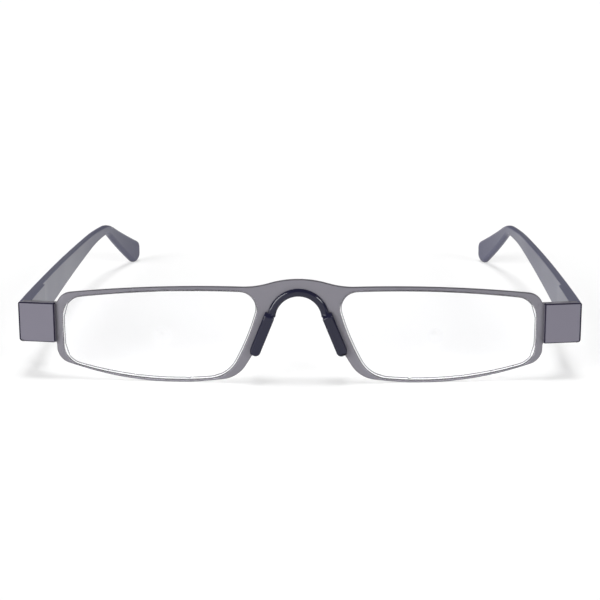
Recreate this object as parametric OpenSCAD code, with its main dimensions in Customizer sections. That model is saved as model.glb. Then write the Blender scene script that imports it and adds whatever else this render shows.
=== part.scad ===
// Half-eye reading glasses with a one-piece sheet-metal front.
// Right is +X, the temple tips lie towards +Y, up is +Z. Millimetres.
// The glasses stand on their two rims and on the two temple tips, at Z = 0.
// Every piece is drawn with the bridge at Y = 0, then moved so that the origin is under the middle.

/* [Front sheet] */
// Distance of the outer side of a rim from the middle
rim_x = 60.5; // [55:0.05:66]
// How far the end plates reach past the rims
end_reach = 9.5; // [8.6:0.05:10.4]
// Height of the top edge of the rims
rim_top = 24.5; // [22:0.1:26.5]
// How far the bridge rises above the rims
bridge_rise = 1.95; // [1.8:0.05:2.4]
// Height of the metal over the nose
bridge_w = 3.2; // [2.8:0.05:3.6]
// Radius of the hump over the nose
hump_r = 25; // [20:1:30]
// Distance from the middle at which the hump runs into the rim
hump_end = 14; // [12.5:0.25:15.5]
// Radius of the wrap of the sheet, seen from above
wrap_radius = 430; // [380:10:600]
// Thickness of the front sheet
sheet_t = 1; // [0.8:0.05:1.2]

/* [Rim outline] */
// Radius of the top edge of a rim
rim_top_r = 300; // [270:5:330]
// Distance from the middle at which the top edge is highest
rim_top_x = 20; // [18:0.5:23]
// Radius of the outer side of a rim
rim_side_r = 250; // [225:5:280]
// Height at which a rim is widest
rim_side_z = 12.5; // [11:0.5:14]
// Radius of the lower edge of a rim
rim_bottom_r = 86; // [78:1:94]
// Distance from the middle at which a rim touches the ground
rim_bottom_x = 31.3; // [28:0.1:34]
// Radius of the edge beside the nose
rim_nose_r = 62; // [56:0.5:68]
// Lean of that edge where it leaves the bow over the nose
nose_lean = 18.3; // [16:0.1:20]
// Corner radius of a rim, upper outer
rim_corner_upper = 4.2; // [3.7:0.1:4.7]
// Corner radius of a rim, lower outer
rim_corner_lower = 4; // [3.5:0.1:4.6]
// Corner radius of a rim, lower inner
rim_corner_nose = 7.7; // [6.6:0.1:8.2]
// Fillet between a rim and the lug behind the end plate
lug_fillet = 0.6; // [0.4:0.05:0.8]

/* [Lens opening] */
// Width of the metal over a lens, at its thinnest
brow_w = 1.07; // [0.9:0.05:1.2]
// Width of the metal under a lens, at its thinnest
chin_w = 0.66; // [0.55:0.02:0.8]
// Width of the metal at the outer side of a lens
side_w = 1.84; // [1.7:0.02:2]
// Width of the metal beside the nose
flank_w = 3.49; // [3.2:0.02:3.9]
// Radius of the top of the lens opening
eye_top_r = 235; // [210:5:260]
// Distance from the middle at which the lens opening is highest
eye_top_x = 22.3; // [20:0.1:25]
// Radius of the outer side of the lens opening
eye_side_r = 212; // [188:4:230]
// Height at which the lens opening is widest
eye_side_z = 15; // [13.5:0.25:16.5]
// Radius of the bottom of the lens opening
eye_bottom_r = 95; // [86:1:104]
// Distance from the middle at which the lens opening is lowest
eye_bottom_x = 31; // [27.5:0.1:33]
// Radius of the nose side of the lens opening
eye_nose_r = 62.2; // [56:0.1:68]
// How far down the edge beside the nose that side leans as it does
eye_nose_drop = 4.52; // [4:0.02:4.8]
// Corner radius of the lens opening, upper outer
eye_corner_upper = 5.3; // [4.7:0.1:5.8]
// Corner radius of the lens opening, lower outer
eye_corner_lower = 5; // [4.5:0.1:5.6]
// Corner radius of the lens opening, lower inner
eye_corner_nose = 8.3; // [7.4:0.1:9]
// Corner radius of the lens opening, upper inner
eye_corner_bridge = 4.4; // [4:0.1:4.8]

/* [Lenses] */
// Radius of the front face of a lens
lens_front_r = 250; // [220:5:300]
// Radius of the back face of a lens
lens_back_r = 600; // [500:20:800]
// How far the ends of a lens stand in front of the sheet
lens_stand = 0.18; // [0.12:0.02:0.3]
// Thickness of a lens in the middle
lens_t = 2.9; // [2.6:0.05:3.2]
// How far the two lips of a lens reach over the sheet
lens_lip = 0.25; // [0.15:0.05:0.35]
// Gap between the sheet and the groove of a lens
lens_gap = 0.04; // [0.02:0.01:0.06]

/* [Nose saddle] */
// Outer radius of the bow of the saddle
bow_outer_r = 7.63; // [7.1:0.05:8.2]
// Width of the bow of the saddle
bow_w = 1.95; // [1.75:0.05:2.15]
// How far the bow covers the edge of the sheet
bow_cover = 0.93; // [0.8:0.01:1.05]
// How far the bow stands in front of the sheet
bow_front = 0.8; // [0.7:0.05:0.9]
// Depth of the bow behind the front of the sheet
bow_back = 2.8; // [2.4:0.1:3.2]
// Width of the rounding of the bow towards the nose
crown_w = 0.9; // [0.75:0.05:1.05]
// Depth of that rounding
crown_d = 0.5; // [0.4:0.05:0.6]
// Rounding of the other edges of the bow
bow_round = 0.25; // [0.2:0.01:0.3]
// Angle of the pads to the upright
pad_angle = 22; // [20:0.5:24]
// Distance along the leg of the bow at which a pad begins
pad_start = 1.33; // [1.1:0.01:1.5]
// How far a pad is set outwards from the leg of the bow
pad_shift = 0.26; // [0.2:0.01:0.32]
// Length of a pad
pad_length = 11.2; // [10.5:0.1:12.5]
// Width of a pad
pad_width = 2.66; // [2.4:0.02:2.9]
// How far the pads stand in front of the sheet
pad_front = 1.7; // [1.4:0.1:2]
// Depth of a pad behind the front of the sheet
pad_back = 4.6; // [4:0.1:5.2]
// Angle by which the pads open towards the nose
pad_splay = 14; // [8:1:18]
// Rounding of the lower end of a pad
pad_round = 1.2; // [1:0.05:1.25]
// Height of the slope at the top of a pad
pad_slope = 0.7; // [0.6:0.05:0.8]
// Width of the bevel along the outer edge of a pad
pad_bevel = 0.3; // [0.2:0.02:0.4]
// Gap between the sheet and the groove of the saddle
saddle_gap = 0.04; // [0.02:0.01:0.06]

/* [End plates] */
// How far the top of an end plate lies below the top of the rims
plate_drop = 4.9; // [4.4:0.05:5.3]
// Height of an end plate
plate_h = 10.1; // [9.9:0.05:10.6]
// Gap between an end plate and the outer side of the rim
plate_inset = 0.1; // [0.05:0.01:0.2]
// Thickness of an end plate
plate_t = 1.3; // [1.15:0.05:1.5]
// Rounding of the lower outer corner of an end plate
plate_corner = 0.7; // [0.4:0.1:1]

/* [Hinges] */
// Distance of the hinge pin from the end of the front
pin_in = 4.5; // [4.4:0.05:4.9]
// Distance of the hinge pin behind the sheet
pin_behind = 2.72; // [2.6:0.02:3]
// Radius of a hinge barrel
barrel_r = 1.35; // [1.22:0.01:1.4]
// Height of one hinge barrel
barrel_h = 2.4; // [2.2:0.05:2.6]
// Gap between two barrels
barrel_gap = 0.06; // [0.04:0.01:0.08]
// Radius of the screw that is the hinge pin
screw_r = 0.6; // [0.54:0.01:0.66]
// Radius of the screw head
screw_head_r = 1.05; // [0.95:0.01:1.15]
// Height of the screw head
screw_head_h = 0.55; // [0.5:0.01:0.6]
// How far the screw head lies below the top of the end plate
screw_drop = 1.04; // [0.9:0.02:1.2]
// Running fit of the temple barrel on the screw, on the radius
screw_fit = 0.05; // [0.03:0.01:0.08]
// Thickness of the leaf on the front
front_leaf_t = 0.9; // [0.8:0.05:1]
// Width of the leaf on the front
front_leaf_w = 4.8; // [4.6:0.1:5]
// Thickness of the leaf on the temple
temple_leaf_t = 0.75; // [0.66:0.01:0.84]
// Length of the leaf on the temple
temple_leaf_l = 10; // [9:0.25:11]
// Height of the leaf on the temple
temple_leaf_h = 5.2; // [4.8:0.1:5.6]
// How far the middle of that leaf lies below the middle of the hinge
temple_leaf_drop = 1.9; // [1.7:0.05:2.1]
// Radius of a rivet shank
rivet_r = 0.5; // [0.45:0.01:0.55]
// Radius of a rivet head
rivet_head_r = 1; // [0.9:0.05:1.1]
// Height of a rivet head
rivet_head_h = 0.36; // [0.3:0.02:0.42]
// Distance of the front rivets from the hinge pin
rivet_ahead = 2.9; // [2.75:0.05:3.1]
// Height between the two front rivets
rivet_pitch = 3.4; // [3:0.1:3.8]

/* [Temples] */
// How far the outer face of the temple lies inside the end of the front
temple_in = 0.1; // [0.05:0.05:0.2]
// Thickness of the temple behind the hinge boss
temple_t = 2.1; // [1.9:0.05:2.3]
// Thickness of the hinge boss
boss_t = 2.9; // [2.8:0.02:3]
// Length of the hinge boss behind the pin
boss_l = 18.25; // [16.5:0.25:20]
// How far the temple lies below the top of the end plate
temple_drop = 0.2; // [0.1:0.02:0.3]
// Height of the temple at the hinge
temple_h = 9.7; // [8.8:0.05:9.8]
// Slope of the top edge of the temple
temple_slope = 1.35; // [1.2:0.05:1.5]
// How much the lower edge rises from the boss to the bend
under_rise = 4.1; // [3.7:0.05:4.5]
// Radius of the upper edge in the bend
bend_top_r = 22; // [20:0.5:24]
// Radius of the lower edge in the bend
bend_low_r = 8; // [7.2:0.1:8.8]
// Distance of the end of the tip behind the bridge
tip_y = 141.2; // [131:0.1:151]
// Length of the part that bends down
tip_l = 27; // [25:0.5:29]
// Height of the end of the tip
tip_h = 7.2; // [6.6:0.1:7.8]
// Angle of the lower edge of the tip
tip_angle = 35; // [32:0.5:38]
// Radius of the upper corner of the tip
tip_r = 2.6; // [2.4:0.1:2.8]
// Radius of the lower corner of the tip, on which it rests
heel_r = 2.8; // [2.5:0.1:3.1]
// Inward curve of the arm, radius seen from above
arm_curve_r = 1750; // [1500:50:2000]
// Inward curve of the tip, radius seen from above
tip_curve_r = 140; // [126:2:154]
// Distance behind the bridge at which the inward curve of the tip begins
tip_curve_y = 98; // [89:0.5:107]

/* [Hidden] */
$fn = 96;

metal = "#827e8a";
plastic = "#66677a";
navy = "#2d2840";
steel = "#a0a0a6";
clear_lens = "#e8ebf5";

// Stand-off of two faces that lie together without cutting into each other
seat = 0.02;
// Fit of a rivet in its hole, on the radius, and the room beyond its end
rivet_fit = 0.02;
end_room = 0.1;
// Gap between the end of an open temple and the back of the front
stop_gap = 0.06;
// Room around a barrel in the other leaf
barrel_room = 3 * screw_fit;

end_x = rim_x + end_reach;
plate_w = end_reach - plate_inset;
plate_top = rim_top - plate_drop;
plate_z = plate_top - plate_h;
nose_r = bow_outer_r - bow_cover;
bow_inner_r = bow_outer_r - bow_w;
bow_z = rim_top + bridge_rise - bridge_w - nose_r;
bow_c = [0, bow_z];

function heading(v) = atan2(v[1], v[0]);
function point(c, r, a) = c + r * [cos(a), sin(a)];
// Points of an arc, its first point left out
function arc(c, r, from, to, n) = [for (i = [1:n]) point(c, r, from + (to - from) * i / n)];
function whole_arc(c, r, from, to, n) = concat([point(c, r, from)], arc(c, r, from, to, n));
// The same as arc, clockwise from the direction u to the direction v
function sweep(c, r, u, v, n) =
  let (a = heading(u), b = heading(v))
  arc(c, r, a, b > a + 0.001 ? b - 360 : b, n);
// Middle of the small arc that rounds the corner between two large discs
function corner(a, ra, b, rb, r) =
  let (d = norm(b - a), u = (b - a) / d, p = ra - r, q = rb - r)
  let (k = (p * p - q * q + d * d) / (2 * d))
  a + k * u - sqrt(p * p - k * k) * [-u[1], u[0]];
function corners(c, r, k) =
  [for (i = [0:len(k) - 1]) corner(c[i], r[i], c[(i + 1) % 4], r[(i + 1) % 4], k[i])];

// Four large discs bound an outline, listed clockwise: top, outer side, bottom, nose side.
// The edge beside the nose leaves the arc over the nose as a tangent.
lean = [cos(nose_lean), sin(nose_lean)];
flank = bow_c + (nose_r + flank_w) * lean + eye_nose_drop * [sin(nose_lean), -cos(nose_lean)];
rim_c = [[rim_top_x, rim_top - rim_top_r], [rim_x - rim_side_r, rim_side_z],
  [rim_bottom_x, rim_bottom_r], bow_c + (nose_r + rim_nose_r) * lean];
rim_r = [rim_top_r, rim_side_r, rim_bottom_r, rim_nose_r];
rim_m = corners(rim_c, rim_r, [rim_corner_upper, rim_corner_lower, rim_corner_nose]);
eye_c = [[eye_top_x, rim_top - brow_w - eye_top_r], [rim_x - side_w - eye_side_r, eye_side_z],
  [eye_bottom_x, chin_w + eye_bottom_r], flank + eye_nose_r * lean];
eye_r = [eye_top_r, eye_side_r, eye_bottom_r, eye_nose_r];
eye_k = [eye_corner_upper, eye_corner_lower, eye_corner_nose, eye_corner_bridge];
eye_m = corners(eye_c, eye_r, eye_k);
eye_n = [16, 6, 16, 10];

// Lens opening, grown by g
function eye_points(g) = [for (i = [0:3]) each concat(
  sweep(eye_c[i], eye_r[i] + g, eye_m[(i + 3) % 4] - eye_c[i], eye_m[i] - eye_c[i], eye_n[i]),
  sweep(eye_m[i], eye_k[i] + g, eye_m[i] - eye_c[i], eye_m[i] - eye_c[(i + 1) % 4], 10))];

// Hump over the nose: a convex arc, then a hollow arc that runs into the top edge of the rim
hump_c = [0, rim_top + bridge_rise - hump_r];
hump_touch = point(rim_c[0], rim_top_r, acos((hump_end - rim_top_x) / rim_top_r));
hollow_u = (hump_touch - rim_c[0]) / rim_top_r;
hollow_w = hump_touch - hump_c;
hollow_r = (hump_r * hump_r - hollow_w * hollow_w) / (2 * (hollow_w * hollow_u - hump_r));
hollow_c = hump_touch + hollow_r * hollow_u;

// The lug behind an end plate is part of the sheet, a little smaller than the plate
lug_in = 1.1;
lug_x = end_x - lug_in;
lug_low = plate_z + seat;
lug_high = plate_top - seat;
lug_turn = asin(min(1, (lug_high - rim_m[0][1]) / rim_corner_upper));
// Foot of its fillet, on the outer side of the rim or on the corner below it
foot_z = lug_low - lug_fillet;
side_turn = heading(rim_m[1] - rim_c[1]);
foot_turn = min(side_turn, asin(min(1, (foot_z - rim_m[1][1]) / rim_corner_lower)));
foot_x = foot_turn < side_turn ? rim_m[1][0] + rim_corner_lower * cos(foot_turn)
  : rim_c[1][0] + sqrt(pow(rim_side_r, 2) - pow(foot_z - rim_side_z, 2));
lug_c = [foot_x + lug_fillet, foot_z];

// Right half of the front outline, clockwise from the top of the bridge
half_front = concat(
  sweep(hump_c, hump_r, [0, 1], hollow_c - hump_c, 8),
  arc(hollow_c, hollow_r, heading(hump_c - hollow_c), heading(-hollow_u), 8),
  sweep(rim_c[0], rim_top_r, hollow_u, rim_m[0] - rim_c[0], 16),
  arc(rim_m[0], rim_corner_upper, heading(rim_m[0] - rim_c[0]), lug_turn, 8),
  [[lug_x, lug_high], [lug_x, lug_low]],
  whole_arc(lug_c, lug_fillet, 90, 180, 4),
  arc(rim_m[1], rim_corner_lower, foot_turn, heading(rim_m[1] - rim_c[2]), 12),
  sweep(rim_c[2], rim_bottom_r, rim_m[1] - rim_c[2], rim_m[2] - rim_c[2], 14),
  sweep(rim_m[2], rim_corner_nose, rim_m[2] - rim_c[2], rim_m[2] - rim_c[3], 10),
  sweep(rim_c[3], rim_nose_r, rim_m[2] - rim_c[3], -lean, 10),
  arc(bow_c, nose_r, nose_lean, 90, 16));

// Nose opening between the two rims, made smaller by g; its right half runs downwards past the ground
function half_nose(g) = concat(
  whole_arc(bow_c, nose_r - g, 90, nose_lean, 12),
  arc(rim_c[3], rim_nose_r + g, nose_lean + 180, nose_lean + 200, 12));

function mirrored(p) = [for (i = [len(p) - 1:-1:0]) [-p[i][0], p[i][1]]];
function front_y(x) = wrap_radius - sqrt(pow(wrap_radius, 2) - x * x);
function back_y(x) = wrap_radius - sqrt(pow(wrap_radius - sheet_t, 2) - x * x);

pin_x = end_x - pin_in;
pin_y = back_y(pin_x) + pin_behind;
rivet_x = pin_x - rivet_ahead;
hinge_h = 3 * barrel_h + 2 * barrel_gap;
hinge_top = plate_top - screw_drop - screw_head_h;
barrel_z = hinge_top - hinge_h;
hinge_mid = barrel_z + hinge_h / 2;

module other_side() {
  mirror([1, 0, 0]) children();
}

// The sheet as a piece of a large upright tube, wider by g on both faces
module tube_wall(g) {
  translate([0, wrap_radius, -rim_top / 8])
    difference() {
      cylinder(r = wrap_radius + g, h = rim_top * 1.5);
      translate([0, 0, -1])
        cylinder(r = wrap_radius - sheet_t - g, h = rim_top * 1.5 + 2);
    }
}

// A flat outline in X and Z, drawn through the whole depth of the front
module through() {
  translate([0, 2 * back_y(end_x), 0])
    rotate([90, 0, 0])
      linear_extrude(height = 4 * back_y(end_x))
        children();
}

// Places its children on the back of the sheet at x, facing along the sheet
module on_back(x) {
  translate([x, back_y(x), 0])
    rotate([0, 0, asin(x / (wrap_radius - sheet_t))])
      children();
}

// Head of a rivet, a low dome that rises along +Z
module rivet_head() {
  dome_r = (pow(rivet_head_r, 2) + pow(rivet_head_h, 2)) / (2 * rivet_head_h);
  intersection() {
    translate([0, 0, rivet_head_h - dome_r])
      sphere(r = dome_r);
    translate([-2 * rivet_head_r, -2 * rivet_head_r, 0])
      cube([4 * rivet_head_r, 4 * rivet_head_r, 2 * rivet_head_h]);
  }
}

rivet_heights = [hinge_mid - rivet_pitch / 2, hinge_mid + rivet_pitch / 2];
// How far a front rivet reaches into the end plate
rivet_bite = plate_t * 0.6;

module front_rivet(z) {
  color(steel)
    on_back(rivet_x)
      translate([0, front_leaf_t + seat, z]) {
        rotate([90, 0, 0])
          cylinder(r = rivet_r, h = front_leaf_t + seat + sheet_t + rivet_bite);
        rotate([-90, 0, 0])
          rivet_head();
      }
}

module front_rivet_holes() {
  on_back(rivet_x)
    for (z = rivet_heights)
      translate([0, 2 * front_leaf_t, z])
        rotate([90, 0, 0])
          cylinder(r = rivet_r + rivet_fit, h = 2 * front_leaf_t + sheet_t + rivet_bite + end_room);
}

module front_sheet() {
  color(metal)
    difference() {
      intersection() {
        tube_wall(0);
        through()
          difference() {
            polygon(concat(half_front, mirrored(half_front)));
            polygon(eye_points(0));
            mirror([1, 0])
              polygon(eye_points(0));
          }
      }
      front_rivet_holes();
      other_side()
        front_rivet_holes();
    }
}

// The blank of a lens is turned about an axis through the middle of the rim.
// It bulges just enough for its ends to stand in front of the sheet.
lens_half = (rim_x - nose_r) / 2;
lens_x = nose_r + lens_half;
lens_z = (rim_top - brow_w + chin_w) / 2;
lens_turn = asin(lens_x / wrap_radius);
lens_bulge = lens_stand + lens_front_r - sqrt(pow(lens_front_r, 2) - pow(lens_half, 2)) - front_y(lens_half);
blank_r = norm([lens_half, rim_top / 2]);

module lens() {
  color(clear_lens)
    difference() {
      intersection() {
        through()
          polygon(eye_points(lens_lip));
        translate([lens_x, front_y(lens_x), lens_z])
          rotate([0, 0, lens_turn])
            rotate([-90, 0, 0])
              rotate_extrude()
                difference() {
                  intersection() {
                    translate([0, lens_front_r - lens_bulge])
                      circle(r = lens_front_r, $fn = 3000);
                    translate([0, -lens_t])
                      square([blank_r, 4 * lens_t]);
                  }
                  translate([0, lens_back_r + lens_t - lens_bulge])
                    circle(r = lens_back_r, $fn = 6000);
                }
      }
      difference() {
        tube_wall(lens_gap);
        through()
          polygon(eye_points(-lens_gap));
      }
    }
}

// Section of the bow, from its axis outwards and from the front to the back
bow_section = concat(
  [for (i = [0:4]) [bow_inner_r + crown_w * (1 - cos(22.5 * i)), crown_d * (1 - sin(22.5 * i)) - bow_front]],
  whole_arc([bow_outer_r - bow_round, bow_round - bow_front], bow_round, -90, 0, 3),
  whole_arc([bow_outer_r - bow_round, bow_back - bow_round], bow_round, 0, 90, 3),
  whole_arc([bow_inner_r + bow_round, bow_back - bow_round], bow_round, 90, 180, 3));

// A leg of the bow runs on as a tangent, and the pad begins a little way down it
leg = [sin(pad_angle), -cos(pad_angle)];
pad_top = bow_c + (bow_inner_r + bow_w / 2 + pad_shift) * [cos(pad_angle), sin(pad_angle)] + pad_start * leg;
bow_from = asin((pad_top[1] - pad_length / 14 - bow_z) / bow_outer_r);

// Outline of a pad in its own upright frame, its lower end rounded
pad_points = concat(
  [[-pad_width / 2, 0], [pad_width / 2, 0]],
  whole_arc([pad_width / 2 - pad_round, pad_round - pad_length], pad_round, 0, -90, 8),
  whole_arc([pad_round - pad_width / 2, pad_round - pad_length], pad_round, -90, -180, 8));

module pad() {
  translate([pad_top[0], 0, pad_top[1]])
    rotate([0, -pad_angle, 0])
      difference() {
        translate([0, pad_back, 0])
          rotate([90, 0, 0])
            linear_extrude(height = pad_front + pad_back)
              polygon(pad_points);
        // flat face for the nose
        translate([-pad_width / 2, -pad_front, -pad_length - 1])
          rotate([0, 0, -pad_splay])
            translate([-pad_width * 2, bow_round, 0])
              cube([pad_width * 2, 4 * pad_back, pad_length + 2]);
        // slope from the front of the bow down to the front of the pad
        rotate([90, 0, 90])
          linear_extrude(height = pad_width * 2, center = true)
            polygon([[-bow_front, 0], [-pad_front, -pad_slope], [-pad_front - 1, -pad_slope],
              [-pad_front - 1, 1], [-bow_front, 1]]);
        // bevel along the outer front edge
        translate([pad_width / 2, -pad_front, -pad_length - 1])
          linear_extrude(height = pad_length + 2)
            polygon([[-pad_bevel, 0], [0, pad_bevel], [1, pad_bevel], [1, -1], [-pad_bevel, -1]]);
      }
}

module saddle() {
  color(navy)
    difference() {
      union() {
        translate([0, 0, bow_z])
          rotate([90, 0, 0])
            rotate([0, 0, bow_from])
              mirror([0, 0, 1])
                rotate_extrude(angle = 180 - 2 * bow_from)
                  polygon(bow_section);
        pad();
        other_side()
          pad();
      }
      difference() {
        tube_wall(saddle_gap);
        through()
          polygon(concat(half_nose(saddle_gap), mirrored(half_nose(saddle_gap))));
      }
    }
}

plate_turn = asin((end_x - plate_w / 2) / wrap_radius);
plate_x = end_x - plate_w / 2 * cos(plate_turn) - plate_t * sin(plate_turn);

// Front view of an end plate, its lower outer corner rounded
plate_points = concat(
  [[-plate_w / 2, 0], [-plate_w / 2, plate_h], [plate_w / 2, plate_h]],
  whole_arc([plate_w / 2 - plate_corner, plate_corner], plate_corner, 0, -90, 8));

module end_plate() {
  color(metal)
    difference() {
      translate([plate_x, front_y(plate_x) - seat, plate_z])
        rotate([0, 0, plate_turn])
          rotate([90, 0, 0])
            linear_extrude(height = plate_t - seat)
              polygon(plate_points);
      front_rivet_holes();
    }
}

// Arms carry the two outer barrels from the leaf to the pin
module front_hinge() {
  color(steel)
    difference() {
      union() {
        on_back(pin_x + barrel_r / 2 - front_leaf_w / 2)
          translate([-front_leaf_w / 2, seat, barrel_z])
            cube([front_leaf_w, front_leaf_t, hinge_h]);
        for (level = [0, 2])
          translate([pin_x, pin_y, barrel_z + level * (barrel_h + barrel_gap)]) {
            cylinder(r = barrel_r, h = barrel_h);
            translate([-0.8 * barrel_r, front_leaf_t / 2 - pin_behind, 0])
              cube([1.4 * barrel_r, pin_behind - front_leaf_t / 2, barrel_h]);
          }
      }
      translate([pin_x, pin_y, barrel_z - 1])
        cylinder(r = screw_r + rivet_fit, h = hinge_h + 2);
      translate([pin_x, pin_y, barrel_z + barrel_h])
        cylinder(r = barrel_r + barrel_room, h = barrel_h + 2 * barrel_gap);
      front_rivet_holes();
    }
}

temple_x = end_x - temple_in;
boss_x = temple_x - boss_t;
leaf_x = boss_x - temple_leaf_t;
leaf_front = pin_y + barrel_r + barrel_room;
leaf_mid = hinge_mid - temple_leaf_drop;
temple_rivet_places = [leaf_front + temple_leaf_l * 0.28, leaf_front + temple_leaf_l * 0.74];
// How far a temple rivet reaches into the boss
temple_bite = boss_t * 0.62;

module temple_rivet(y) {
  color(steel)
    translate([leaf_x, y, leaf_mid]) {
      rotate([0, 90, 0])
        cylinder(r = rivet_r, h = temple_leaf_t + temple_bite);
      rotate([0, -90, 0])
        rivet_head();
    }
}

module temple_rivet_holes() {
  for (y = temple_rivet_places)
    translate([leaf_x - temple_leaf_t, y, leaf_mid])
      rotate([0, 90, 0])
        cylinder(r = rivet_r + rivet_fit, h = 2 * temple_leaf_t + temple_bite + end_room);
}

module temple_hinge() {
  color(steel)
    difference() {
      union() {
        translate([leaf_x, leaf_front, leaf_mid - temple_leaf_h / 2])
          cube([temple_leaf_t - seat, temple_leaf_l, temple_leaf_h]);
        translate([pin_x, pin_y, barrel_z + barrel_h + barrel_gap]) {
          cylinder(r = barrel_r, h = barrel_h);
          cube([boss_x - pin_x - seat, leaf_front - pin_y + temple_leaf_t / 2, barrel_h]);
        }
      }
      translate([pin_x, pin_y, barrel_z - 1])
        cylinder(r = screw_r + screw_fit, h = hinge_h + 2);
      temple_rivet_holes();
    }
}

module hinge_screw() {
  color(steel)
    translate([pin_x, pin_y, 0]) {
      translate([0, 0, barrel_z + end_room])
        cylinder(r = screw_r, h = hinge_h - end_room);
      difference() {
        translate([0, 0, hinge_top])
          cylinder(r = screw_head_r, h = screw_head_h);
        translate([-2 * screw_head_r, -screw_r / 4, hinge_top + screw_head_h / 2])
          cube([4 * screw_head_r, screw_r / 2, screw_head_h]);
      }
    }
}

// Side view of a temple, in Y and Z: a straight top edge, a bend and a tip with a blunt end,
// and a lower edge that is level under the boss, rises to the bend and falls to the tip
temple_front = back_y(temple_x) + stop_gap;
boss_end = pin_y + boss_l;
temple_top = plate_top - temple_drop;
temple_low = temple_top - temple_h;
bend_y = tip_y - tip_l;
top_n = [sin(temple_slope), cos(temple_slope)];
top_bend = [bend_y, temple_top - (bend_y - temple_front) * tan(temple_slope)];
tip_c = [tip_y - tip_r, tip_h - tip_r];
heel_c = [tip_y - heel_r, heel_r];
top_c = top_bend - bend_top_r * top_n;
// Direction square to the straight top edge of the tip, which touches both arcs
tip_turn = heading(tip_c - top_c) + acos((bend_top_r - tip_r) / norm(tip_c - top_c));
heel_touch = heel_c - heel_r * [sin(tip_angle), cos(tip_angle)];
// The two straight parts of the lower edge meet in a notch, which is rounded
notch_z = temple_low + under_rise;
notch_y = heel_touch[0] - (notch_z - heel_touch[1]) / tan(tip_angle);
under_turn = atan2(under_rise, notch_y - boss_end);
notch_run = bend_low_r * tan((under_turn + tip_angle) / 2);
notch_c = [notch_y, notch_z] - notch_run * [cos(under_turn), sin(under_turn)]
  + bend_low_r * [sin(under_turn), -cos(under_turn)];

temple_side = concat(
  [[0, temple_top + temple_front * tan(temple_slope)], top_bend],
  arc(top_c, bend_top_r, 90 - temple_slope, tip_turn, 12),
  whole_arc(tip_c, tip_r, tip_turn, 0, 8),
  whole_arc(heel_c, heel_r, 0, -90 - tip_angle, 12),
  whole_arc(notch_c, bend_low_r, 90 - tip_angle, 90 + under_turn, 8),
  [[boss_end, temple_low], [0, temple_low]]);

// Top view of a temple, in X and Y: the outer face curves inwards, more strongly behind the ear
arm_turn = asin((tip_curve_y - temple_front) / arm_curve_r);
arm_c = [temple_x - arm_curve_r, temple_front];
curl_c = point(arm_c, arm_curve_r - tip_curve_r, arm_turn);
curl_end = asin((tip_y + tip_r - curl_c[1]) / tip_curve_r);
inner_start = asin((boss_end - temple_front) / (arm_curve_r - temple_t));

temple_plan = concat(
  [[temple_x, temple_front]],
  arc(arm_c, arm_curve_r, 0, arm_turn, 12),
  arc(curl_c, tip_curve_r, arm_turn, curl_end, 16),
  whole_arc(curl_c, tip_curve_r - temple_t, curl_end, arm_turn, 16),
  arc(arm_c, arm_curve_r - temple_t, arm_turn, inner_start, 10),
  [[boss_x, boss_end - boss_t + temple_t], [boss_x, back_y(boss_x) + stop_gap]]);

module temple() {
  color(plastic)
    difference() {
      intersection() {
        translate([0, 0, -1])
          linear_extrude(height = rim_top + 1)
            polygon(temple_plan);
        translate([1, 0, 0])
          rotate([90, 0, 90])
            linear_extrude(height = end_x)
              polygon(temple_side);
      }
      temple_rivet_holes();
    }
}

// Depth of the middle of the glasses behind the bridge
middle_y = (tip_y - pad_front) / 2;

module place() {
  translate([0, -middle_y, 0]) children();
}

module place_mirrored() {
  other_side() place() children();
}

module front_frame() { place() front_sheet(); }
module lens_right() { place() lens(); }
module lens_left() { place_mirrored() lens(); }
module nose_saddle() { place() saddle(); }
module end_plate_right() { place() end_plate(); }
module end_plate_left() { place_mirrored() end_plate(); }
module front_hinge_right() { place() front_hinge(); }
module front_hinge_left() { place_mirrored() front_hinge(); }
module temple_hinge_right() { place() temple_hinge(); }
module temple_hinge_left() { place_mirrored() temple_hinge(); }
module hinge_screw_right() { place() hinge_screw(); }
module hinge_screw_left() { place_mirrored() hinge_screw(); }
module temple_right() { place() temple(); }
module temple_left() { place_mirrored() temple(); }
module front_rivet_right_upper() { place() front_rivet(rivet_heights[1]); }
module front_rivet_right_lower() { place() front_rivet(rivet_heights[0]); }
module front_rivet_left_upper() { place_mirrored() front_rivet(rivet_heights[1]); }
module front_rivet_left_lower() { place_mirrored() front_rivet(rivet_heights[0]); }
module temple_rivet_right_front() { place() temple_rivet(temple_rivet_places[0]); }
module temple_rivet_right_rear() { place() temple_rivet(temple_rivet_places[1]); }
module temple_rivet_left_front() { place_mirrored() temple_rivet(temple_rivet_places[0]); }
module temple_rivet_left_rear() { place_mirrored() temple_rivet(temple_rivet_places[1]); }

front_frame();
lens_left();
lens_right();
nose_saddle();
end_plate_left();
end_plate_right();
front_hinge_left();
front_hinge_right();
temple_hinge_left();
temple_hinge_right();
hinge_screw_left();
hinge_screw_right();
temple_left();
temple_right();
front_rivet_left_upper();
front_rivet_left_lower();
front_rivet_right_upper();
front_rivet_right_lower();
temple_rivet_left_front();
temple_rivet_left_rear();
temple_rivet_right_front();
temple_rivet_right_rear();
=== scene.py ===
# Half-eye reading glasses: finish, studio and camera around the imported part
import math

import bmesh
import bpy
from mathutils import Matrix, Vector
from mathutils.kdtree import KDTree


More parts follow.
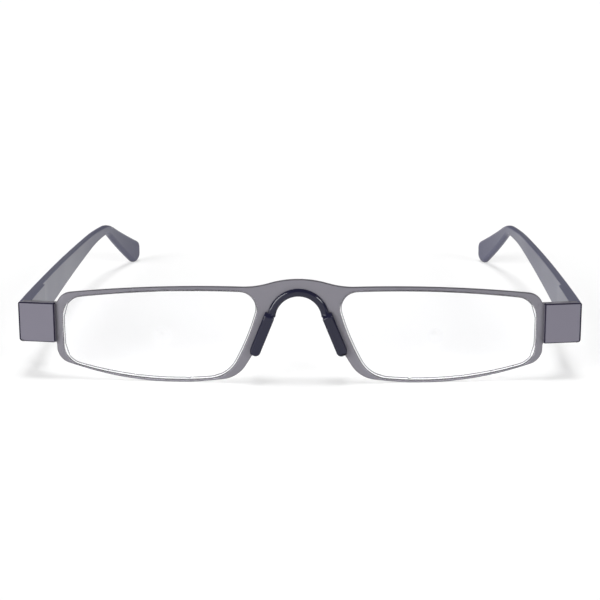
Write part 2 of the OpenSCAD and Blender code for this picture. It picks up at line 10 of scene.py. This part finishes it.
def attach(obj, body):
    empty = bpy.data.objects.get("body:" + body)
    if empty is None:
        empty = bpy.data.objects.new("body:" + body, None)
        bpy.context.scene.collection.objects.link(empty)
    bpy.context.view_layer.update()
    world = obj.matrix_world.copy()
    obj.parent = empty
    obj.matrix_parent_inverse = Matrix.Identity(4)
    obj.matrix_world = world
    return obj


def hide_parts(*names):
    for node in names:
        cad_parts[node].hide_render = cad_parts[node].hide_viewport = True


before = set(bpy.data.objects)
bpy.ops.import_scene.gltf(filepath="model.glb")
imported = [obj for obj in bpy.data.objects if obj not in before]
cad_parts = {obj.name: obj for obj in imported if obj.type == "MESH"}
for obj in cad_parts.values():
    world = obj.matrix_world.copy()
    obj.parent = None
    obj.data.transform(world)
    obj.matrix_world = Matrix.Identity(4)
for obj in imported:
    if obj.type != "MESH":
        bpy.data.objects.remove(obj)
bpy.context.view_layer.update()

sides = ("left", "right")


# node helpers

def addNode(tree, kind, **settings):
    node = tree.nodes.new(kind)
    for key, value in settings.items():
        setattr(node, key, value)
    return node


def newGroup(name, inputs, outputs):
    tree = bpy.data.node_groups.new(name, "ShaderNodeTree")
    for label, kind in inputs:
        tree.interface.new_socket(label, in_out="INPUT", socket_type=kind)
    for label, kind in outputs:
        tree.interface.new_socket(label, in_out="OUTPUT", socket_type=kind)
    return tree, tree.nodes.new("NodeGroupInput"), tree.nodes.new("NodeGroupOutput")


def newMaterial(name):
    material = bpy.data.materials.new(name)
    material.use_nodes = True
    tree = material.node_tree
    return material, tree, tree.nodes["Principled BSDF"]


# detail of each noise, the group's input that scales it and the output that it gives
grainNoises = ((3, "Grain Scale", "Height"), (2, "Drift Scale", "Tone"))


# fine grain of a coated or moulded surface, with a slow drift of tone across it
def makeGrainGroup():
    tree, given, result = newGroup(
        "surfaceGrain",
        [("Vector", "NodeSocketVector"), ("Grain Scale", "NodeSocketFloat"),
         ("Drift Scale", "NodeSocketFloat")],
        [("Height", "NodeSocketFloat"), ("Tone", "NodeSocketFloat")])
    link = tree.links.new
    for detail, scale, effect in grainNoises:
        noise = addNode(tree, "ShaderNodeTexNoise")
        noise.inputs["Detail"].default_value = detail
        link(given.outputs["Vector"], noise.inputs["Vector"])
        link(given.outputs[scale], noise.inputs["Scale"])
        link(noise.outputs["Fac"], result.inputs[effect])
    return tree


# cosine of the turn where the rub starts and where it is full
edgeRub = {"samples": 4, "startTurn": 0.995, "fullTurn": 0.9, "breakScale": 900}


# mask of the edges, where a finish is handled and rubbed
def makeEdgeGroup():
    tree, given, result = newGroup(
        "edgeRub",
        [("Vector", "NodeSocketVector"), ("Radius", "NodeSocketFloat")],
        [("Mask", "NodeSocketFloat")])
    soft = addNode(tree, "ShaderNodeBevel", samples=edgeRub["samples"])
    shape = addNode(tree, "ShaderNodeNewGeometry")
    turn = addNode(tree, "ShaderNodeVectorMath", operation="DOT_PRODUCT")
    spread = addNode(tree, "ShaderNodeMapRange")
    spread.inputs["From Min"].default_value = edgeRub["startTurn"]
    spread.inputs["From Max"].default_value = edgeRub["fullTurn"]
    patches = addNode(tree, "ShaderNodeTexNoise")
    patches.inputs["Scale"].default_value = edgeRub["breakScale"]
    mix = addNode(tree, "ShaderNodeMath", operation="MULTIPLY")
    link = tree.links.new
    link(given.outputs["Radius"], soft.inputs["Radius"])
    link(soft.outputs["Normal"], turn.inputs[0])
    link(shape.outputs["Normal"], turn.inputs[1])
    link(turn.outputs["Value"], spread.inputs["Value"])
    link(given.outputs["Vector"], patches.inputs["Vector"])
    link(spread.outputs["Result"], mix.inputs[0])
    link(patches.outputs["Fac"], mix.inputs[1])
    link(mix.outputs["Value"], result.inputs["Mask"])
    return tree


# materials

grainGroup = makeGrainGroup()
edgeGroup = makeEdgeGroup()
sheenSpan = (0.3, 0.7)  # share of the drift over which the roughness runs


# colour that drifts between two tones and lightens at the edges, roughness and fine bump
def makeFinish(name, look):
    material, tree, shader = newMaterial(name)
    shader.inputs["Metallic"].default_value = look["metallic"]
    shader.inputs["Specular IOR Level"].default_value = look["specular"]
    coords = addNode(tree, "ShaderNodeTexCoord")
    grain = addNode(tree, "ShaderNodeGroup", node_tree=grainGroup)
    grain.inputs["Grain Scale"].default_value = look["grainScale"]
    grain.inputs["Drift Scale"].default_value = look["driftScale"]
    edge = addNode(tree, "ShaderNodeGroup", node_tree=edgeGroup)
    edge.inputs["Radius"].default_value = look["edgeRadius"]
    drift = addNode(tree, "ShaderNodeMix", data_type="RGBA")
    drift.inputs["A"].default_value = (*look["darkTone"], 1)
    drift.inputs["B"].default_value = (*look["lightTone"], 1)
    rub = addNode(tree, "ShaderNodeMix", data_type="RGBA")
    rub.inputs["B"].default_value = (*look["edgeTone"], 1)
    sheen = addNode(tree, "ShaderNodeMapRange")
    sheen.inputs["From Min"].default_value = sheenSpan[0]
    sheen.inputs["From Max"].default_value = sheenSpan[1]
    sheen.inputs["To Min"].default_value = look["roughness"] - look["roughSpread"]
    sheen.inputs["To Max"].default_value = look["roughness"] + look["roughSpread"]
    bump = addNode(tree, "ShaderNodeBump")
    bump.inputs["Strength"].default_value = look["bumpStrength"]
    bump.inputs["Distance"].default_value = look["bumpDepth"]
    link = tree.links.new
    link(coords.outputs["Object"], grain.inputs["Vector"])
    link(coords.outputs["Object"], edge.inputs["Vector"])
    link(grain.outputs["Tone"], drift.inputs["Factor"])
    link(drift.outputs["Result"], rub.inputs["A"])
    link(edge.outputs["Mask"], rub.inputs["Factor"])
    link(rub.outputs["Result"], shader.inputs["Base Color"])
    link(grain.outputs["Tone"], sheen.inputs["Value"])
    link(sheen.outputs["Result"], shader.inputs["Roughness"])
    link(grain.outputs["Height"], bump.inputs["Height"])
    link(bump.outputs["Normal"], shader.inputs["Normal"])
    return material


sheetMetalLook = {
    "darkTone": (0.172, 0.166, 0.190), "lightTone": (0.192, 0.185, 0.212),
    "edgeTone": (0.21, 0.20, 0.23),
    "grainScale": 9000, "driftScale": 35, "edgeRadius": 0.00015,
    "roughness": 0.42, "roughSpread": 0.04, "bumpStrength": 0.15, "bumpDepth": 0.00002,
    "metallic": 0.35, "specular": 0.5,
}
plateMetalLook = dict(
    sheetMetalLook, darkTone=(0.153, 0.145, 0.181), lightTone=(0.168, 0.159, 0.198))
# painted shade: the rounded edges take darker copies of the metal in place of the dark reflections
# they show; on the front they are darker, and on the plates nearly black, with no gloss
paintedShadeSheetEdgeLook = dict(
    sheetMetalLook, darkTone=(0.056, 0.052, 0.064), lightTone=(0.066, 0.062, 0.074),
    edgeTone=(0.09, 0.085, 0.10))
paintedShadePlateEdgeLook = dict(
    sheetMetalLook, darkTone=(0.018, 0.016, 0.030), lightTone=(0.026, 0.023, 0.040),
    edgeTone=(0.03, 0.026, 0.046), metallic=0.0, specular=0.0)
templePlasticLook = {
    "darkTone": (0.068, 0.069, 0.116), "lightTone": (0.084, 0.085, 0.140),
    "edgeTone": (0.15, 0.15, 0.22),
    "grainScale": 5000, "driftScale": 25, "edgeRadius": 0.0004,
    "roughness": 0.30, "roughSpread": 0.05, "bumpStrength": 0.10, "bumpDepth": 0.00002,
    "metallic": 0.0, "specular": 0.35,
}
saddlePlasticLook = {
    "darkTone": (0.005, 0.005, 0.018), "lightTone": (0.008, 0.008, 0.026),
    "edgeTone": (0.012, 0.012, 0.034),
    "grainScale": 3000, "driftScale": 120, "edgeRadius": 0.0002,
    "roughness": 0.13, "roughSpread": 0.03, "bumpStrength": 0.04, "bumpDepth": 0.00001,
    "metallic": 0.0, "specular": 0.42,
}
hingeSteelLook = {
    "darkTone": (0.34, 0.34, 0.35), "lightTone": (0.44, 0.44, 0.45), "edgeTone": (0.6, 0.6, 0.6),
    "grainScale": 7000, "driftScale": 400, "edgeRadius": 0.00012,
    "roughness": 0.34, "roughSpread": 0.08, "bumpStrength": 0.2, "bumpDepth": 0.00001,
    "metallic": 1.0, "specular": 0.5,
}
lensLook = {
    "tint": (0.992, 0.992, 1.0), "index": 1.5, "roughness": 0.0, "shade": 0.95, "sideShade": 0.6,
    # the painted shade line: its place and half its width, in mm from the rear edge
    "paintedShadeLineTone": (0.05, 0.05, 0.062), "paintedShadeLinePlace": 0.50, "paintedShadeLineHalf": 0.11,
}


# clear plastic with a painted dark line along the rear edge, painted shade in place of the rear
# edge seen darkened through the lens; its shade is the share of the lamps' light that reaches the
# floor through it
def makeLensPlastic(name, shade):
    material, tree, shader = newMaterial(name)
    shader.inputs["Transmission Weight"].default_value = 1
    shader.inputs["IOR"].default_value = lensLook["index"]
    shader.inputs["Roughness"].default_value = lensLook["roughness"]
    lightPath = addNode(tree, "ShaderNodeLightPath")
    clear = addNode(tree, "ShaderNodeBsdfTransparent")
    clear.inputs["Color"].default_value = (shade, shade, shade, 1)
    mix = addNode(tree, "ShaderNodeMixShader")
    edgeGap = addNode(tree, "ShaderNodeAttribute", attribute_name="edgeGap")
    onPaintedShadeLine = addNode(tree, "ShaderNodeMath", operation="COMPARE")
    onPaintedShadeLine.inputs[1].default_value = lensLook["paintedShadeLinePlace"]
    onPaintedShadeLine.inputs[2].default_value = lensLook["paintedShadeLineHalf"]
    tone = addNode(tree, "ShaderNodeMix", data_type="RGBA")
    tone.inputs["A"].default_value = (*lensLook["tint"], 1)
    tone.inputs["B"].default_value = (*lensLook["paintedShadeLineTone"], 1)
    link = tree.links.new
    link(edgeGap.outputs["Fac"], onPaintedShadeLine.inputs[0])
    link(onPaintedShadeLine.outputs["Value"], tone.inputs["Factor"])
    link(tone.outputs["Result"], shader.inputs["Base Color"])
    link(lightPath.outputs["Is Shadow Ray"], mix.inputs["Fac"])
    link(shader.outputs["BSDF"], mix.inputs[1])
    link(clear.outputs["BSDF"], mix.inputs[2])
    link(mix.outputs["Shader"], tree.nodes["Material Output"].inputs["Surface"])
    return material


sheetMetal = makeFinish("sheetMetal", sheetMetalLook)
plateMetal = makeFinish("plateMetal", plateMetalLook)
# painted shade: darker copies of the metal for the rounded edges of the front and of the plates
paintedShadeSheetEdge = makeFinish("paintedShadeSheetEdge", paintedShadeSheetEdgeLook)
paintedShadePlateEdge = makeFinish("paintedShadePlateEdge", paintedShadePlateEdgeLook)
templePlastic = makeFinish("templePlastic", templePlasticLook)
saddlePlastic = makeFinish("saddlePlastic", saddlePlasticLook)
hingeSteel = makeFinish("hingeSteel", hingeSteelLook)
lensPlastic = makeLensPlastic("lensPlastic", lensLook["shade"])
lensSide = makeLensPlastic("lensSide", lensLook["sideShade"])
print("materials ready")


# pieces, in metres and degrees; a roundSlot of -1 keeps the finish of the faces beside

plainEdges = {
    "merge": 1e-6, "flat": 0.05, "sharp": 35, "shortEdge": 0, "smallFace": 0, "roundSlot": -1,
    "evenWeight": 0,
}


# the CAD solid with its doubles merged and, where wanted, its flat faces made whole
def mergedCopy(nodeName, edges):
    bm = bmesh.new()
    bm.from_mesh(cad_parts[nodeName].data)
    bmesh.ops.remove_doubles(bm, verts=bm.verts, dist=edges["merge"])
    if edges["flat"]:
        bmesh.ops.dissolve_limit(
            bm, angle_limit=math.radians(edges["flat"]), verts=bm.verts, edges=bm.edges)
    for face in bm.faces:
        face.smooth = True
    return bm


# a share of the rounding for each outward edge, but none for short edges and small faces
def shareRounding(bm, edges, shareOf):
    weight = bm.edges.layers.float.new("bevel_weight_edge")
    sharp = math.radians(edges["sharp"])
    for edge in bm.edges:
        if len(edge.link_faces) != 2 or edge.calc_face_angle_signed() < sharp:
            continue
        if edge.calc_length() < edges["shortEdge"]:
            continue
        if min(face.calc_area() for face in edge.link_faces) < edges["smallFace"]:
            continue
        edge[weight] = shareOf(edge)


# keeps smooth shading from running over the edges
def markSharp(bm, edges):
    sharp = math.radians(edges["sharp"])
    for edge in bm.edges:
        edge.smooth = len(edge.link_faces) == 2 and edge.calc_face_angle() < sharp


def middleOf(edge):
    return (edge.verts[0].co + edge.verts[1].co) / 2


# a piece in place of a node, with its edges rounded, in a material of their own where wanted (the
# painted shade on the edges of the front and the plates)
def roundedPiece(name, nodeName, body, bm, materials, edges):
    mesh = bpy.data.meshes.new(name)
    bm.to_mesh(mesh)
    bm.free()
    for material in materials:
        mesh.materials.append(material)
    piece = bpy.data.objects.new(name, mesh)
    bpy.context.scene.collection.objects.link(piece)
    if edges["round"]:
        bevel = piece.modifiers.new("roundedEdges", "BEVEL")
        bevel.width = edges["round"]
        bevel.segments = edges["segments"]
        bevel.limit_method = "WEIGHT"
        bevel.use_clamp_overlap = False
        bevel.material = edges["roundSlot"]
    if edges["evenWeight"]:
        normals = piece.modifiers.new("evenNormals", "WEIGHTED_NORMAL")
        normals.weight = edges["evenWeight"]
    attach(piece, body)
    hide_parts(nodeName)


# front: all the outward edges but those of the lugs
sheetEdges = dict(
    plainEdges, round=0.00014, segments=2, roundSlot=1, evenWeight=90, lugStart=0.0602)

bm = mergedCopy("front_frame", sheetEdges)
shareRounding(
    bm, sheetEdges, lambda edge: 1 if abs(middleOf(edge).x) < sheetEdges["lugStart"] else 0)
# the front's rounded edges take the painted shade of the second slot
roundedPiece(
    "frontSheet", "front_frame", "front", bm, [sheetMetal, paintedShadeSheetEdge], sheetEdges)

saddleEdges = dict(
    plainEdges, shortEdge=0.00015, smallFace=2e-8, round=0.00020, segments=3,
    bowRadius=0.00763, bowRound=0.00025, bowRounder=0.00065, bowEnd=0.0185, bowFade=0.001,
    outside=1e-5, offRound=2e-5)


# the front edge of the bow is rounded more, fading out above the pads
def softenBow(bm, edges):
    front = min(vert.co.y for vert in bm.verts if vert.co.z > edges["bowEnd"])
    centre = max(vert.co.z for vert in bm.verts) - edges["bowRadius"]
    small = edges["bowRound"]
    for vert in bm.verts:
        out = Vector((vert.co.x, vert.co.z - centre))
        across, along = out.length - (edges["bowRadius"] - small), front + small - vert.co.y
        if vert.co.z < edges["bowEnd"] or min(across, along) < -edges["outside"]:
            continue
        if abs(math.hypot(across, along) - small) > edges["offRound"]:
            continue
        fade = min(1, (vert.co.z - edges["bowEnd"]) / edges["bowFade"])
        wide = small + (edges["bowRounder"] - small) * fade
        turn = out.normalized() * (edges["bowRadius"] - wide + across / small * wide)
        vert.co = (turn.x, front + wide - along / small * wide, centre + turn.y)


bm = mergedCopy("nose_saddle", saddleEdges)
softenBow(bm, saddleEdges)
markSharp(bm, saddleEdges)
shareRounding(bm, saddleEdges, lambda edge: 1)
roundedPiece(
    "noseSaddle", "nose_saddle", "front", bm, [saddlePlastic], saddleEdges)

# end plates: full rounding on the outer edge, a share of it on the rest
plateEdges = dict(
    plainEdges, smallFace=1.5e-7, round=0.00050, segments=5, roundSlot=1, evenWeight=90,
    outerStart=0.0695, innerShare=0.55)


def plateShare(edge):
    outer = abs(middleOf(edge).x) > plateEdges["outerStart"]
    return 1 if outer else plateEdges["innerShare"]


# the plates' rounded edges take the painted shade of the second slot
for side in sides:
    bm = mergedCopy("end_plate_" + side, plateEdges)
    shareRounding(bm, plateEdges, plateShare)
    roundedPiece("endPlate_" + side, "end_plate_" + side, "front", bm, [plateMetal, paintedShadePlateEdge],
                 plateEdges)

# temples: crisp at the front, rounder outside along the arm, fully round from the bend to the tip
templeEdges = dict(
    plainEdges, smallFace=1e-7, round=0.00100, segments=5, evenWeight=90,
    crispShare=0.2, armShare=0.45, crispEnd=-0.052, armStart=-0.030, roundStart=0.040,
    inwardTurn=0.5, upwardTurn=0.7)


def templeShare(edge):
    edges = templeEdges
    place = middleOf(edge)
    inward = any(face.normal.x * place.x < -edges["inwardTurn"] * abs(place.x)
                 for face in edge.link_faces)
    upward = any(face.normal.z > edges["upwardTurn"] for face in edge.link_faces)
    arm = edges["crispShare"] if inward and upward else edges["armShare"]
    if place.y < edges["armStart"]:
        rise = (place.y - edges["crispEnd"]) / (edges["armStart"] - edges["crispEnd"])
        return edges["crispShare"] + (arm - edges["crispShare"]) * min(1, max(0, rise))
    rise = (place.y - edges["armStart"]) / (edges["roundStart"] - edges["armStart"])
    return arm + (1 - arm) * min(1, rise) ** 2


for side in sides:
    bm = mergedCopy("temple_" + side, templeEdges)
    shareRounding(bm, templeEdges, templeShare)
    roundedPiece("templePiece_" + side, "temple_" + side, "temple_" + side + "_body", bm,
                 [templePlastic], templeEdges)

# lenses: crisp edges; each point of the rear face knows how many mm it lies from the edge, which
# places the painted shade line
lensEdges = dict(
    plainEdges, flat=0, round=0, rearTurn=0.9, middlePull=20, sameFace=12, sideTurn=0.5, farGap=9.0)
millimetres = 1000  # in a metre


# the rear face is found from its middle and followed to where it turns sharply
def measureRear(bm, edges):
    centre = sum((vert.co for vert in bm.verts), Vector()) / len(bm.verts)

    def nearMiddle(face):
        place = face.calc_center_median()
        return place.y - (place - centre).length_squared * edges["middlePull"]

    start = max((face for face in bm.faces if face.normal.y > edges["rearTurn"]), key=nearMiddle)
    found, waiting, rim = {start}, [start], set()
    while waiting:
        for edge in waiting.pop().edges:
            for other in edge.link_faces:
                if other in found:
                    continue
                if edge.calc_face_angle() < math.radians(edges["sameFace"]):
                    found.add(other)
                    waiting.append(other)
                else:
                    rim.update(edge.verts)
    tree = KDTree(len(rim))
    for number, vert in enumerate(rim):
        tree.insert(vert.co, number)
    tree.balance()
    gap = bm.verts.layers.float.new("edgeGap")
    for vert in bm.verts:
        vert[gap] = edges["farGap"]
    for vert in {vert for face in found for vert in face.verts}:
        vert[gap] = tree.find(vert.co)[2] * millimetres


# the side between the two faces takes the second material
def markSide(bm, edges):
    for face in bm.faces:
        if abs(face.normal.y) < edges["sideTurn"]:
            face.material_index = 1


for side in sides:
    bm = mergedCopy("lens_" + side, lensEdges)
    measureRear(bm, lensEdges)
    markSide(bm, lensEdges)
    markSharp(bm, lensEdges)
    roundedPiece("lensPiece_" + side, "lens_" + side, "front", bm, [lensPlastic, lensSide],
                 lensEdges)

steelParts = (
    "front_hinge_{}", "temple_hinge_{}", "hinge_screw_{}", "front_rivet_{}_upper",
    "front_rivet_{}_lower", "temple_rivet_{}_front", "temple_rivet_{}_rear",
)


# the CAD nodes that keep showing take their finish here
def dressNode(nodeName, material):
    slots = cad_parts[nodeName].material_slots
    if not slots:
        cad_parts[nodeName].data.materials.append(material)
    for slot in slots:
        slot.material = material


for side in sides:
    for steelPart in steelParts:
        dressNode(steelPart.format(side), hingeSteel)
print("pieces ready")


# studio

studio = {
    "floorSize": 40.0, "floorWhite": 0.8, "floorRoughness": 0.9, "floorGlow": 1.5,
    "floorGlowShare": 0.3,
    "skyLow": 1.0, "skyHigh": 0.22, "skyFade": 0.12,
    # strength, spread, height and turn from the front in degrees, and whether gloss shows it
    "lamps": {
        "keyLeft": (2.25, 34, 20, -38, True),
        "keyRight": (0.95, 14, 20, 38, True),
        "top": (1.45, 20, 88, 0, False),
    },
}


# white floor: a share of what the camera, gloss and lenses see is an even white, the rest is lit
def makeFloor():
    bm = bmesh.new()
    bmesh.ops.create_grid(bm, x_segments=1, y_segments=1, size=studio["floorSize"] / 2)
    mesh = bpy.data.meshes.new("floor")
    bm.to_mesh(mesh)
    bm.free()
    floor = bpy.data.objects.new("floor", mesh)
    bpy.context.scene.collection.objects.link(floor)
    material, tree, shader = newMaterial("whiteFloor")
    white = studio["floorWhite"]
    shader.inputs["Base Color"].default_value = (white, white, white, 1)
    shader.inputs["Roughness"].default_value = studio["floorRoughness"]
    shader.inputs["Specular IOR Level"].default_value = 0
    lightPath = addNode(tree, "ShaderNodeLightPath")
    seen = addNode(tree, "ShaderNodeMath", operation="ADD")
    seenThrough = addNode(tree, "ShaderNodeMath", operation="ADD", use_clamp=True)
    share = addNode(tree, "ShaderNodeMath", operation="MULTIPLY")
    share.inputs[1].default_value = studio["floorGlowShare"]
    glow = addNode(tree, "ShaderNodeEmission")
    glow.inputs["Strength"].default_value = studio["floorGlow"]
    mix = addNode(tree, "ShaderNodeMixShader")
    link = tree.links.new
    link(lightPath.outputs["Is Camera Ray"], seen.inputs[0])
    link(lightPath.outputs["Is Glossy Ray"], seen.inputs[1])
    link(seen.outputs["Value"], seenThrough.inputs[0])
    link(lightPath.outputs["Is Transmission Ray"], seenThrough.inputs[1])
    link(seenThrough.outputs["Value"], share.inputs[0])
    link(share.outputs["Value"], mix.inputs["Fac"])
    link(shader.outputs["BSDF"], mix.inputs[1])
    link(glow.outputs["Emission"], mix.inputs[2])
    link(mix.outputs["Shader"], tree.nodes["Material Output"].inputs["Surface"])
    mesh.materials.append(material)


# a white band above the horizon under a dim ceiling
def makeSky():
    world = bpy.data.worlds.new("studioSky")
    bpy.context.scene.world = world
    world.use_nodes = True
    tree = world.node_tree
    background = tree.nodes["Background"]
    background.inputs["Color"].default_value = (1, 1, 1, 1)
    coords = addNode(tree, "ShaderNodeTexCoord")
    direction = addNode(tree, "ShaderNodeSeparateXYZ")
    fade = addNode(tree, "ShaderNodeMapRange", interpolation_type="SMOOTHSTEP")
    fade.inputs["From Min"].default_value = 0
    fade.inputs["From Max"].default_value = studio["skyFade"]
    fade.inputs["To Min"].default_value = studio["skyLow"]
    fade.inputs["To Max"].default_value = studio["skyHigh"]
    link = tree.links.new
    link(coords.outputs["Generated"], direction.inputs["Vector"])
    link(direction.outputs["Z"], fade.inputs["Value"])
    link(fade.outputs["Result"], background.inputs["Strength"])


# a wide soft lamp at the front left, a smaller one at the front right and one above
def makeLamps():
    for name, (strength, spread, height, turn, glossy) in studio["lamps"].items():
        light = bpy.data.lights.new(name, "SUN")
        light.energy = strength
        light.angle = math.radians(spread)
        lamp = bpy.data.objects.new(name, light)
        lamp.visible_glossy = glossy
        side = math.radians(turn)
        rise = math.radians(height)
        place = Vector((
            math.sin(side) * math.cos(rise), -math.cos(side) * math.cos(rise), math.sin(rise)))
        lamp.location = place
        lamp.rotation_euler = (-place).to_track_quat("-Z", "Y").to_euler()
        bpy.context.scene.collection.objects.link(lamp)


makeFloor()
makeSky()
makeLamps()
print("studio ready")


# camera

cameraPlace = {
    "location": (0.00932, -0.44975, 0.11559),  # metres
    "pitch": 13.929, "yaw": -1.3448, "roll": -0.2188,  # degrees
    "focalLength": 96.05, "sensorWidth": 36,  # mm
    "clipStart": 0.01, "clipEnd": 100,
}


def makeCamera():
    data = bpy.data.cameras.new("camera")
    data.sensor_width = cameraPlace["sensorWidth"]
    data.lens = cameraPlace["focalLength"]
    data.clip_start = cameraPlace["clipStart"]
    data.clip_end = cameraPlace["clipEnd"]
    camera = bpy.data.objects.new("camera", data)
    bpy.context.scene.collection.objects.link(camera)
    camera.matrix_world = (
        Matrix.Translation(cameraPlace["location"])
        @ Matrix.Rotation(-math.radians(cameraPlace["yaw"]), 4, "Z")
        @ Matrix.Rotation(math.radians(90 - cameraPlace["pitch"]), 4, "X")
        @ Matrix.Rotation(math.radians(cameraPlace["roll"]), 4, "Z"))
    bpy.context.scene.camera = camera


makeCamera()
bpy.context.scene.view_settings.view_transform = "Standard"
print("camera ready")
